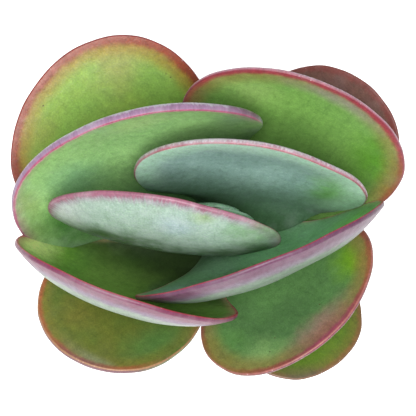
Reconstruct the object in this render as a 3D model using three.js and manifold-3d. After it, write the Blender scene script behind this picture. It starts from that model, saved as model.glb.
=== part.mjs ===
// A paddle plant in a plain clay pot: a short thick stem that carries crossed pairs of
// fleshy paddle-shaped leaves, potting soil, and a round pot with a collar and a drain hole.
// Millimetres, +Z up. The origin is on the floor, on the pot's axis.

import * as THREE from "three";
import { mergeVertices } from "three/addons/utils/BufferGeometryUtils.js";
import Module from "manifold-3d";

const wasm = await Module();
wasm.setup();

// Gap that separates touching pieces
const SEAT_GAP = 0.3;
// Vertices closer than this are one vertex
const WELD_DISTANCE = 1e-4;

// Pot
const POT_HEIGHT = 84;
const POT_RIM_RADIUS = 45;
const POT_FOOT_RADIUS = 30;
const POT_WALL = 4.5;
const POT_FLOOR = 6;
const COLLAR_HEIGHT = 20;
const COLLAR_OVERHANG = 3;
const DRAIN_RADIUS = 6;
const POT_EDGE_ROUND = 1.5;
const POT_SIDES = 48;
const POT_AXIS = [0, 0];
const POT_FINISH = { color: 0xb5643c, roughness: 0.85 };

// Soil
const SOIL_BELOW_RIM = 9;
const SOIL_SIDES = 36;
const SOIL_FINISH = { color: 0x3b2a1e, roughness: 1 };

// Stem: height above the floor and radius, from the buried root end to the growing tip
const STEM_PROFILE = [
  [54, 5],
  [60, 7.5],
  [74, 9],
  [92, 10],
  [116, 9],
  [132, 6],
  [136, 4],
];
const STEM_CROWN = 1;
const STEM_SIDES = 24;
const STEM_AXIS = [4, -3];
const STEM_FINISH = { color: 0x8a9a6a, roughness: 0.7 };

// Each leaf starts on the stem at the height `node` and grows out towards `azimuth` (0 is +X,
// 90 is +Y). `rise` is its angle above the horizontal at the base and at the tip, `turn` is how
// far the blade is twisted about its midrib at those ends, `lean` is how far the midrib leans
// sideways in the blade's own plane, and `cup` is how far each half of the blade curls up across
// its width, all in degrees. `length`, `width` and `thick` are in millimetres. `widest` is where
// the widest place lies along the length, and a higher `wedge` narrows the blade sooner towards
// its base.
const LEAVES = {
  leaf_1_front_right: {
    node: 86, azimuth: 309.5, rise: [28, 8], turn: [-12, -12], lean: 3, cup: 6,
    length: 93, width: 69, thick: 4.4, widest: 0.64, wedge: 3.3, color: 0x7d8a3c,
  },
  leaf_1_back_left: {
    node: 86, azimuth: 132, rise: [28, 10], turn: [-12, -12], lean: 0, cup: 6,
    length: 88, width: 70, thick: 4.4, widest: 0.64, wedge: 3.3, color: 0x7d8a3c,
  },
  leaf_2_back_right: {
    node: 94, azimuth: 36, rise: [36, 30], turn: [4, 4], lean: 0, cup: 8,
    length: 113, width: 83, thick: 4.6, widest: 0.64, wedge: 3.3, color: 0x8a5d4e,
  },
  leaf_2_front_left: {
    node: 94, azimuth: 222, rise: [30, 32], turn: [17, 17], lean: 0, cup: 9,
    length: 111, width: 79, thick: 4.6, widest: 0.64, wedge: 3.3, color: 0x6f7f42,
  },
  leaf_3_back_left: {
    node: 102, azimuth: 138, rise: [38, 24], turn: [-13, -13], lean: 4, cup: 8,
    length: 121, width: 104, thick: 4.8, widest: 0.62, wedge: 3.3, color: 0x7d9a5a,
  },
  leaf_3_front_right: {
    node: 102, azimuth: 310, rise: [32, 52], turn: [2, 2], lean: 2, cup: 10,
    length: 105, width: 98, thick: 4.8, widest: 0.6, wedge: 3.3, color: 0x5f9060,
  },
  leaf_4_back_right: {
    node: 111, azimuth: 48, rise: [41, 76], turn: [22, 22], lean: -3, cup: 14,
    length: 125, width: 112, thick: 5, widest: 0.62, wedge: 3.3, color: 0x6f9a5c,
  },
  leaf_4_front_left: {
    node: 111, azimuth: 224.5, rise: [20, 100], turn: [25, 25], lean: 0, cup: 24,
    length: 140, width: 112, thick: 5, widest: 0.6, wedge: 3.3, color: 0x7c9a70,
  },
  leaf_5_back_left: {
    node: 120, azimuth: 131, rise: [48, 88], turn: [-22, -22], lean: 16, cup: 26,
    length: 123, width: 130, thick: 5, widest: 0.58, wedge: 4.4, color: 0x6f9a68,
  },
  leaf_5_front_right: {
    node: 120, azimuth: 305.8, rise: [40, 100], turn: [-14, -14], lean: 0, cup: 22,
    length: 121, width: 126, thick: 5, widest: 0.62, wedge: 3.3, color: 0x6f9080,
  },
  leaf_6_back_right: {
    node: 128, azimuth: 54.5, rise: [67, 92], turn: [37, 25], lean: -6, cup: 15,
    length: 104, width: 110, thick: 4.6, widest: 0.6, wedge: 1.8, color: 0x86a59b,
  },
  leaf_6_front_left: {
    node: 128, azimuth: 241, rise: [50, 120], turn: [29, 14], lean: -15, cup: 12,
    length: 110, width: 109, thick: 4.6, widest: 0.64, wedge: 3.3, color: 0xb9d3c2,
  },
  leaf_7_back_left: {
    node: 133, azimuth: 110, rise: [88, 93], turn: [-30, -30], lean: -6, cup: 6,
    length: 34, width: 24, thick: 3.2, widest: 0.62, wedge: 3.3, color: 0x6f958a,
  },
  leaf_7_front_right: {
    node: 133, azimuth: 290, rise: [92, 96], turn: [-30, -30], lean: 20, cup: 6,
    length: 34, width: 24, thick: 3.2, widest: 0.62, wedge: 3.3, color: 0x6f958a,
  },
};
const LEAF_ROUGHNESS = 0.5;

// Outline: below 1 squares the tip
const LEAF_BLUNT = 0.95;
// Distance of the base from the stem's axis
const LEAF_ROOT_RADIUS = 3;
// The base is thicker than the blade by this factor, which fades out over a share of the length
const LEAF_BASE_SWELL = 1.35;
const LEAF_SWELL_REACH = 0.4;
// Shares of the length over which twist and lean, and the cup, set in
const LEAF_TWIST_REACH = 0.3;
const LEAF_CUP_REACH = 0.5;
const FLATTEST_CURL = 1e-6;
// The upper face ends in a fine corner, and the lower face rolls up to it over a longer way,
// which is never more than a share of the distance to the spine
const LEAF_CORNER = 1;
const LEAF_BEVEL = 8;
const LEAF_BEVEL_SHARE = 0.5;
// The spine that the rings shrink to starts this far above the base, and ends a share of the
// blade's width short of the tip
const SPINE_START = 8;
const SPINE_TIP_SHARE = 0.42;
// Mesh: outline steps on each side of the tip and of the flank, rings as shares of the way out
// to the rim, and steps round the rolled edge
const LEAF_TIP_STEPS = 7;
const LEAF_FLANK_STEPS = 6;
const LEAF_RINGS = [0, 0.5];
const LEAF_BEVEL_STEPS = 3;
const STATION_STEP = 1;

const QUARTER_TURN = Math.PI / 2;

const radians = (degrees) => (degrees * Math.PI) / 180;
const mix = (a, b, t) => a + (b - a) * t;
const smooth = (t) => t * t * (3 - 2 * t);
// Rises smoothly from 0 to 1 as `share` goes from 0 to `reach`
const setIn = (share, reach) => smooth(Math.max(0, Math.min(1, share / reach)));

// A closed mesh with shared vertices, as a manifold-3d solid
function solidFrom(geometry) {
  const bare = geometry.clone();
  bare.deleteAttribute("normal");
  bare.deleteAttribute("uv");
  const merged = mergeVertices(bare, WELD_DISTANCE);
  const index = merged.index.array;
  const triangles = [];
  for (let i = 0; i < index.length; i += 3) {
    const [a, b, c] = index.slice(i, i + 3);
    if (a !== b && b !== c && c !== a) triangles.push(a, b, c);
  }
  return new wasm.Manifold(
    new wasm.Mesh({
      numProp: 3,
      vertProperties: merged.attributes.position.array,
      triVerts: new Uint32Array(triangles),
    }),
  );
}

// A manifold-3d solid back as a three.js geometry
function geometryFrom(solid) {
  const mesh = solid.getMesh();
  const geometry = new THREE.BufferGeometry();
  geometry.setAttribute("position", new THREE.BufferAttribute(mesh.vertProperties, mesh.numProp));
  geometry.setIndex(new THREE.BufferAttribute(mesh.triVerts, 1));
  geometry.computeVertexNormals();
  return geometry;
}

// A solid of revolution about the vertical line through `axis`, from [radius, height] points
// in the order that goes up the outside
function turned(points, sides, axis) {
  const geometry = new THREE.LatheGeometry(
    points.map(([radius, height]) => new THREE.Vector2(radius, height)),
    sides,
  );
  geometry.rotateX(QUARTER_TURN);
  geometry.translate(axis[0], axis[1], 0);
  return geometry;
}

// The stem's radius at a height
function stemRadius(height) {
  const above = STEM_PROFILE.findIndex(([level]) => level >= height);
  const [[lowHeight, lowRadius], [highHeight, highRadius]] = STEM_PROFILE.slice(above - 1, above + 1);
  return mix(lowRadius, highRadius, (height - lowHeight) / (highHeight - lowHeight));
}

// Half of a leaf's outline as [along, across] points, from the tip to the base corner, grown
// outwards by `grown`. The base is as wide as the stem.
function halfOutline({ node, length, width, widest, wedge }, grown) {
  const shoulder = length * widest;
  const tipSide = Array.from({ length: LEAF_TIP_STEPS }, (_, i) => {
    const angle = QUARTER_TURN * (i / LEAF_TIP_STEPS);
    return [
      shoulder + (length - shoulder + grown) * Math.cos(angle) ** LEAF_BLUNT,
      (width / 2 + grown) * Math.sin(angle) ** LEAF_BLUNT,
    ];
  });
  const base = stemRadius(node);
  const flank = Array.from({ length: LEAF_FLANK_STEPS + 1 }, (_, i) => {
    const angle = QUARTER_TURN * (i / LEAF_FLANK_STEPS);
    const flare = Math.cos(angle) ** wedge;
    const along = mix(shoulder, -grown, Math.sin(angle));
    return [along, base + grown + (width / 2 - base) * flare];
  });
  return [...tipSide, ...flank];
}

// The unit vector `from` turned by an angle towards `to`, or away from it where sign is -1
function between(from, to, angle, sign = 1) {
  return from.clone().multiplyScalar(Math.cos(angle)).addScaledVector(to, sign * Math.sin(angle));
}

// The midrib as points and frames, one each step, from one step short of the base to one step
// past the tip
function midrib({ node, azimuth, rise, turn, lean, length }) {
  const heading = radians(azimuth);
  const outwards = new THREE.Vector3(Math.cos(heading), Math.sin(heading), 0);
  const upwards = new THREE.Vector3(0, 0, 1);
  const sideways = new THREE.Vector3().crossVectors(upwards, outwards);
  const place = new THREE.Vector3(STEM_AXIS[0], STEM_AXIS[1], node);
  place.addScaledVector(outwards, LEAF_ROOT_RADIUS);
  place.addScaledVector(between(outwards, upwards, radians(rise[0])), -STATION_STEP);
  const stations = [];
  for (let along = -STATION_STEP; along <= length + STATION_STEP; along += STATION_STEP) {
    const share = Math.max(0, Math.min(1, along / length));
    const climb = radians(mix(rise[0], rise[1], share));
    const roll = radians(mix(turn[0], turn[1], share) * setIn(share, LEAF_TWIST_REACH));
    const tilt = radians(lean * setIn(share, LEAF_TWIST_REACH));
    const rib = between(outwards, upwards, climb);
    const level = between(upwards, outwards, climb, -1);
    const side = between(sideways, level, roll);
    const inner = between(level, sideways, roll, -1);
    stations.push({ place: place.clone(), side: between(side, rib, tilt, -1), inner });
    place.addScaledVector(between(rib, side, tilt), STATION_STEP);
  }
  return stations;
}

// A point on the leaf's middle sheet, moved off it by `lift` towards the upper face
function sheetPoint(leaf, stations, along, across, lift) {
  const at = along / STATION_STEP + 1;
  const low = stations[Math.floor(at)];
  const high = stations[Math.floor(at) + 1];
  const t = at - Math.floor(at);
  const place = low.place.clone().lerp(high.place, t);
  const side = low.side.clone().lerp(high.side, t).normalize();
  const inner = low.inner.clone().lerp(high.inner, t).normalize();
  const cupped = radians(leaf.cup) * setIn(along / leaf.length, LEAF_CUP_REACH);
  const curl = Math.max(FLATTEST_CURL, cupped / (leaf.width / 2));
  const bend = curl * across;
  return place
    .addScaledVector(side, Math.sin(bend) / curl - lift * Math.sin(bend))
    .addScaledVector(inner, (1 - Math.cos(bend)) / curl + lift * Math.cos(bend));
}

// The leaf's section from the middle of its upper face over the rim to the middle of its lower
// face, as [inset from the rim, lift off the middle sheet]
function section(reach, thick) {
  const top = thick / 2;
  const bevel = Math.min(LEAF_BEVEL, reach * LEAF_BEVEL_SHARE);
  const rolled = Array.from({ length: LEAF_BEVEL_STEPS + 1 }, (_, i) => {
    const angle = QUARTER_TURN * (i / LEAF_BEVEL_STEPS);
    return [bevel * (1 - Math.cos(angle)), top - LEAF_CORNER - (thick - LEAF_CORNER) * Math.sin(angle)];
  });
  return [
    ...LEAF_RINGS.map((share) => [reach * (1 - share), top]),
    [LEAF_CORNER, top],
    ...rolled,
    ...LEAF_RINGS.toReversed().map((share) => [reach * (1 - share), -top]),
  ];
}

// A whole leaf as a closed mesh, grown outwards all round by `grown`
function leafGeometry(leaf, grown = 0) {
  const half = halfOutline(leaf, grown);
  const mirrored = half.slice(1).map(([along, across]) => [along, -across]);
  const outline = [...half, [-grown, 0], ...mirrored.reverse()];
  const stations = midrib(leaf);
  const thick = leaf.thick + 2 * grown;
  const spineHigh = leaf.length - leaf.width * SPINE_TIP_SHARE;
  const columns = outline.map(([along, across]) => {
    const spine = Math.max(SPINE_START, Math.min(spineHigh, along));
    const reach = Math.hypot(along - spine, across);
    return section(reach, thick).map(([inset, lift]) => {
      const share = 1 - inset / reach;
      const place = mix(spine, along, share);
      const swell = mix(LEAF_BASE_SWELL, 1, setIn(place / leaf.length, LEAF_SWELL_REACH));
      return sheetPoint(leaf, stations, place, across * share, lift * swell);
    });
  });
  const positions = [];
  columns.forEach((column, i) => {
    const next = columns[(i + 1) % columns.length];
    for (let row = 0; row + 1 < column.length; row += 1) {
      const corners = [column[row], column[row + 1], next[row + 1], next[row]];
      for (const corner of [0, 1, 2, 0, 2, 3]) positions.push(...corners[corner].toArray());
    }
  });
  const geometry = new THREE.BufferGeometry();
  geometry.setAttribute("position", new THREE.Float32BufferAttribute(positions, 3));
  return geometry;
}

// The stem's profile, grown outwards all round by `grown`
function stemProfile(grown = 0) {
  const sides = STEM_PROFILE.map(([height, radius]) => [radius + grown, height]);
  const foot = STEM_PROFILE[0][0] - grown;
  const tip = STEM_PROFILE.at(-1)[0] + STEM_CROWN + grown;
  return [[0, foot], [sides[0][0], foot], ...sides.slice(1), [0, tip]];
}

// Radius of the pot's inner wall at a height
function boreRadius(height) {
  const collarBottom = POT_HEIGHT - COLLAR_HEIGHT;
  const slope = (POT_RIM_RADIUS - COLLAR_OVERHANG - POT_FOOT_RADIUS) / collarBottom;
  return POT_FOOT_RADIUS - POT_WALL + slope * height;
}

function potProfile() {
  const collarBottom = POT_HEIGHT - COLLAR_HEIGHT;
  return [
    [DRAIN_RADIUS, 0],
    [POT_FOOT_RADIUS, 0],
    [POT_RIM_RADIUS - COLLAR_OVERHANG, collarBottom],
    [POT_RIM_RADIUS, collarBottom],
    [POT_RIM_RADIUS, POT_HEIGHT - POT_EDGE_ROUND],
    [POT_RIM_RADIUS - POT_EDGE_ROUND, POT_HEIGHT],
    [boreRadius(POT_HEIGHT) + POT_EDGE_ROUND, POT_HEIGHT],
    [boreRadius(POT_HEIGHT), POT_HEIGHT - POT_EDGE_ROUND],
    [boreRadius(POT_FLOOR), POT_FLOOR],
    [DRAIN_RADIUS, POT_FLOOR],
    [DRAIN_RADIUS, 0],
  ];
}

function soilProfile() {
  const low = POT_FLOOR + SEAT_GAP;
  const high = POT_HEIGHT - SOIL_BELOW_RIM;
  return [
    [0, low],
    [boreRadius(low) - SEAT_GAP, low],
    [boreRadius(high) - SEAT_GAP, high],
    [0, high],
  ];
}

function piece(name, geometry, { color, roughness }) {
  const mesh = new THREE.Mesh(geometry, new THREE.MeshStandardMaterial({ color, roughness, metalness: 0 }));
  mesh.name = name;
  return mesh;
}

const plant = new THREE.Group();
const stemSocket = solidFrom(turned(stemProfile(SEAT_GAP), STEM_SIDES, STEM_AXIS));
const soil = solidFrom(turned(soilProfile(), SOIL_SIDES, POT_AXIS)).subtract(stemSocket);
plant.add(piece("pot", turned(potProfile(), POT_SIDES, POT_AXIS), POT_FINISH));
plant.add(piece("soil", geometryFrom(soil), SOIL_FINISH));
plant.add(piece("stem", turned(stemProfile(), STEM_SIDES, STEM_AXIS), STEM_FINISH));

// The youngest leaf is cut only by the stem, and each older leaf is also pressed in where a
// younger one meets it near the stem
let younger = stemSocket;
for (const [name, leaf] of Object.entries(LEAVES).reverse()) {
  const blade = solidFrom(leafGeometry(leaf)).subtract(younger);
  younger = younger.add(solidFrom(leafGeometry(leaf, SEAT_GAP)));
  plant.add(piece(name, geometryFrom(blade), { color: leaf.color, roughness: LEAF_ROUGHNESS }));
}

export default plant;
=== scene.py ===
"""A potted paddle plant: crossed pairs of round fleshy leaves on a short stem, in a clay pot.

Sizes in this file are in millimetres. A mesh is scaled to metres when it is made. Leaf colours
are given as they look under the studio light, from 0 to 255 a channel.
"""

import logging
import math
from collections.abc import Mapping, Sequence
from dataclasses import dataclass, field
from enum import Enum
from functools import partial
from typing import Any

import bmesh
import bpy
import numpy as np
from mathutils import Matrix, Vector, noise


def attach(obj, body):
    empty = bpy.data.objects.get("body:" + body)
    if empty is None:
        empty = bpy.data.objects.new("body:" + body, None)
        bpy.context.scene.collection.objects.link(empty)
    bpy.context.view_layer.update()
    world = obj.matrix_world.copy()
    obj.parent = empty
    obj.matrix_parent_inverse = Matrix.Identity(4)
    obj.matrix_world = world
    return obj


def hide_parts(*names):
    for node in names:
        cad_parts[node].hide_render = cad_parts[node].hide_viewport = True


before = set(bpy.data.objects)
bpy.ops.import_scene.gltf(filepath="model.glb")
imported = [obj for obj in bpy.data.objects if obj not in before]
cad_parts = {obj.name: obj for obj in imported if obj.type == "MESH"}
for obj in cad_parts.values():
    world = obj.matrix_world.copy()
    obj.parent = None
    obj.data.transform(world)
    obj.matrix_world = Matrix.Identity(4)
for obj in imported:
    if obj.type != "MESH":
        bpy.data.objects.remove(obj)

log = logging.getLogger("paddle_plant")
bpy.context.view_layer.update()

MM = 0.001
BODY = "root"
QUARTER_TURN = math.pi / 2
# Light that an open matt white surface sends back, where 1 is pure white in the picture
STUDIO_LEVEL = 1.5

Display = tuple[int, int, int]
Colour = tuple[float, float, float, float]
Array = np.ndarray


class Slot(Enum):
    """The record's material slots."""

    CLAY = "clay"
    SOIL = "soil"
    STEM_SKIN = "stem_skin"
    OLD_LEAF = "old_leaf"
    GROWN_LEAF = "grown_leaf"
    YOUNG_LEAF = "young_leaf"


def lit(colour: Display, level: float = STUDIO_LEVEL) -> Colour:
    """Turns a colour as it looks in the studio into the surface's own colour.

    Args:
        colour: Red, green and blue from 0 to 255.
        level: The light that reaches the surface, where 1 shows white as pure white.

    Returns:
        Linear red, green and blue, and an alpha of 1.
    """

    def channel(value: int) -> float:
        """One channel, from 0 to 255, as linear light."""
        share = value / 255
        light = share / 12.92 if share <= 0.04045 else ((share + 0.055) / 1.055) ** 2.4
        return light / level

    red, green, blue = colour
    return (channel(red), channel(green), channel(blue), 1.0)


def smooth_step(share: Array | float) -> Array | float:
    """Rises smoothly from 0 to 1 as share does, and is level outside."""
    held = np.clip(share, 0.0, 1.0)
    return held * held * (3 - 2 * held)


def mixed(low: Any, high: Any, share: Any) -> Any:
    """The value that lies a share of the way from low to high."""
    return low + (high - low) * share


class Field:
    """A number that varies over a surface, held as an output socket of a shader node."""

    def __init__(self, paint: "Paint", socket: bpy.types.NodeSocket) -> None:
        """Wraps one output socket.

        Args:
            paint: The paint whose nodes the socket belongs to.
            socket: The output socket.
        """
        self.paint = paint
        self.socket = socket

    def __add__(self, other: "Field | float") -> "Field":
        """This number plus another."""
        return self.paint.maths("ADD", self, other)

    __radd__ = __add__

    def __sub__(self, other: "Field | float") -> "Field":
        """This number less another."""
        return self.paint.maths("SUBTRACT", self, other)

    def __rsub__(self, other: "Field | float") -> "Field":
        """Another number less this one."""
        return self.paint.maths("SUBTRACT", other, self)

    def __mul__(self, other: "Field | float") -> "Field":
        """This number times another."""
        return self.paint.maths("MULTIPLY", self, other)

    __rmul__ = __mul__

    def __abs__(self) -> "Field":
        """The size of this number."""
        return self.paint.maths("ABSOLUTE", self)

    def rise(self, low: float, high: float) -> "Field":
        """Rises smoothly from 0 to 1 as this number goes from low to high.

        Args:
            low: Where the rise starts.
            high: Where the rise ends.

        Returns:
            A mask from 0 to 1.
        """
        settings = {"interpolation_type": "SMOOTHSTEP"}
        sockets = {"Value": self, "From Min": low, "From Max": high}
        return Field(self.paint, self.paint.node("ShaderNodeMapRange", settings, sockets).outputs[0])

    def fall(self, low: float, high: float) -> "Field":
        """Falls smoothly from 1 to 0 as this number goes from low to high."""
        return 1 - self.rise(low, high)


class Paint:
    """One procedural material, with the nodes that vary its finish over a surface."""

    def __init__(self, name: str) -> None:
        """Makes a material with a plain shader.

        Args:
            name: The material's name.
        """
        self.material = bpy.data.materials.new(name)
        self.material.use_nodes = True
        self.tree = self.material.node_tree
        self.shader = self.tree.nodes["Principled BSDF"]

    def node(
        self,
        kind: str,
        settings: Mapping[str, Any] | None = None,
        sockets: Mapping[str | int, Any] | None = None,
    ) -> bpy.types.Node:
        """Adds a node.

        Args:
            kind: The node's type.
            settings: The node's own settings, which are set first.
            sockets: For each input socket, a value, a field or an output socket.

        Returns:
            The new node.
        """
        made = self.tree.nodes.new(kind)
        for name, value in (settings or {}).items():
            setattr(made, name, value)
        for key, value in (sockets or {}).items():
            self.plug(made.inputs[key], value)
        return made

    def plug(self, socket: bpy.types.NodeSocket, value: Any) -> None:
        """Gives an input socket its value or its link.

        Args:
            socket: The input socket.
            value: A plain value, a field or an output socket.
        """
        if isinstance(value, Field):
            value = value.socket
        if isinstance(value, bpy.types.NodeSocket):
            self.tree.links.new(value, socket)
        else:
            socket.default_value = value

    def maths(self, operation: str, *values: Field | float) -> Field:
        """One step of arithmetic on one or two numbers."""
        sockets = dict(enumerate(values))
        return Field(self, self.node("ShaderNodeMath", {"operation": operation}, sockets).outputs[0])

    def vector(self, operation: str, *values: Any) -> bpy.types.Node:
        """One step of arithmetic on vectors."""
        return self.node("ShaderNodeVectorMath", {"operation": operation}, dict(enumerate(values)))

    def stored(self, name: str) -> bpy.types.NodeSocket:
        """A vector that the mesh stores at each point under a name."""
        return self.node("ShaderNodeAttribute", {"attribute_name": name}).outputs["Vector"]

    def parts(self, vector: bpy.types.NodeSocket) -> list[Field]:
        """The three numbers of a vector."""
        split = self.node("ShaderNodeSeparateXYZ", None, {0: vector})
        return [Field(self, output) for output in split.outputs]

    def joined(self, *values: Field | float) -> bpy.types.NodeSocket:
        """A vector of up to three numbers."""
        return self.node("ShaderNodeCombineXYZ", None, dict(enumerate(values))).outputs[0]

    def grain(self, where: Any, size: float, detail: float = 3.0, rough: float = 0.55) -> Field:
        """Cloudy noise round 0.5.

        Args:
            where: The vector that the noise is read at.
            size: The size of its clouds, in the vector's unit.
            detail: How many finer layers it has.
            rough: How strong the finer layers are.

        Returns:
            The noise.
        """
        sockets = {"Vector": where, "Scale": 1 / size, "Detail": detail, "Roughness": rough}
        return Field(self, self.node("ShaderNodeTexNoise", None, sockets).outputs[0])

    def cells(self, where: Any, size: float) -> Field:
        """Distance from the nearest of scattered points, as a share of their spacing."""
        sockets = {"Vector": where, "Scale": 1 / size}
        return Field(self, self.node("ShaderNodeTexVoronoi", None, sockets).outputs["Distance"])

    def blend(self, share: Field | float, under: Any, over: Any, kind: str = "MIX") -> bpy.types.NodeSocket:
        """A colour with another laid over it.

        Args:
            share: How much of the upper colour shows, from 0 to 1.
            under: The lower colour.
            over: The upper colour.
            kind: How the upper colour acts on the lower one.

        Returns:
            The mixed colour.
        """
        settings = {"data_type": "RGBA", "blend_type": kind}
        return self.node("ShaderNodeMix", settings, {0: share, 6: under, 7: over}).outputs[2]

    def finish(
        self, colour: Any, roughness: Any, height: Field, depth: float, **constants: Any
    ) -> bpy.types.Material:
        """Puts the finish on the shader.

        Args:
            colour: The base colour.
            roughness: The roughness.
            height: The height of the surface's fine relief, about 0 to 1.
            depth: The relief's depth in millimetres.
            **constants: The shader's other sockets, with underscores for spaces.

        Returns:
            The finished material.
        """
        relief = self.node("ShaderNodeBump", None, {"Distance": depth * MM, "Height": height})
        self.plug(self.shader.inputs["Base Color"], colour)
        self.plug(self.shader.inputs["Roughness"], roughness)
        self.plug(self.shader.inputs["Normal"], relief.outputs[0])
        for name, value in constants.items():
            self.shader.inputs[name.replace("_", " ")].default_value = value
        return self.material


def make_piece(
    name: str,
    points: Array,
    faces: Sequence[Sequence[int]],
    fields: Mapping[str, Array],
    material: bpy.types.Material,
) -> bpy.types.Object:
    """Makes one closed, smooth mesh object.

    Args:
        name: The piece's name.
        points: Its points in millimetres.
        faces: Its faces as lists of point numbers, counter-clockwise seen from outside.
        fields: Vectors to store at the points, by name.
        material: Its material.

    Returns:
        The object, in the scene.
    """
    mesh = bpy.data.meshes.new(name)
    mesh.from_pydata((np.asarray(points) * MM).tolist(), [], faces)
    for label, values in fields.items():
        layer = mesh.attributes.new(label, "FLOAT_VECTOR", "POINT")
        layer.data.foreach_set("vector", np.asarray(values, dtype=np.float32).ravel())
    weld = bmesh.new()
    weld.from_mesh(mesh)
    bmesh.ops.remove_doubles(weld, verts=weld.verts, dist=1e-3 * MM)
    bmesh.ops.dissolve_degenerate(weld, edges=weld.edges, dist=1e-4 * MM)
    for face in weld.faces:
        face.smooth = True
    weld.to_mesh(mesh)
    weld.free()
    mesh.materials.append(material)
    piece = bpy.data.objects.new(name, mesh)
    bpy.context.scene.collection.objects.link(piece)
    return piece


def wrapped_faces(columns: int, rows: int) -> list[tuple[int, int, int, int]]:
    """Quads between neighbouring columns of points, the last of which meets the first.

    Args:
        columns: How many columns there are.
        rows: How many points each has.

    Returns:
        The faces, which look outwards where the columns turn counter-clockwise seen from above
        and each column's points go down the outside.
    """
    faces = []
    for column in range(columns):
        after = (column + 1) % columns
        for row in range(rows - 1):
            low, high = column * rows + row, after * rows + row
            faces.append((low, low + 1, high + 1, high))
    return faces


def install(piece: bpy.types.Object, node: str) -> None:
    """Puts a finished piece in the place of its plain solid.

    Args:
        piece: The piece.
        node: The solid that it stands for.
    """
    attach(piece, BODY)
    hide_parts(node)
    log.info("%s: %d faces", piece.name, len(piece.data.polygons))


@dataclass(frozen=True)
class Blush:
    """A soft oval patch of another colour on a leaf: mostly the leaf's own colouring, and in a few places
    painted shade.

    Attributes:
        along: Distance of its middle from the leaf's base.
        across: Distance of its middle from the midrib, towards the leaf's own left.
        size: Its reach along and across.
        colour: Its colour.
        strength: How much of the colour shows in its middle.
    """

    along: float
    across: float
    size: tuple[float, float]
    colour: Display
    strength: float = 0.7


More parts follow.
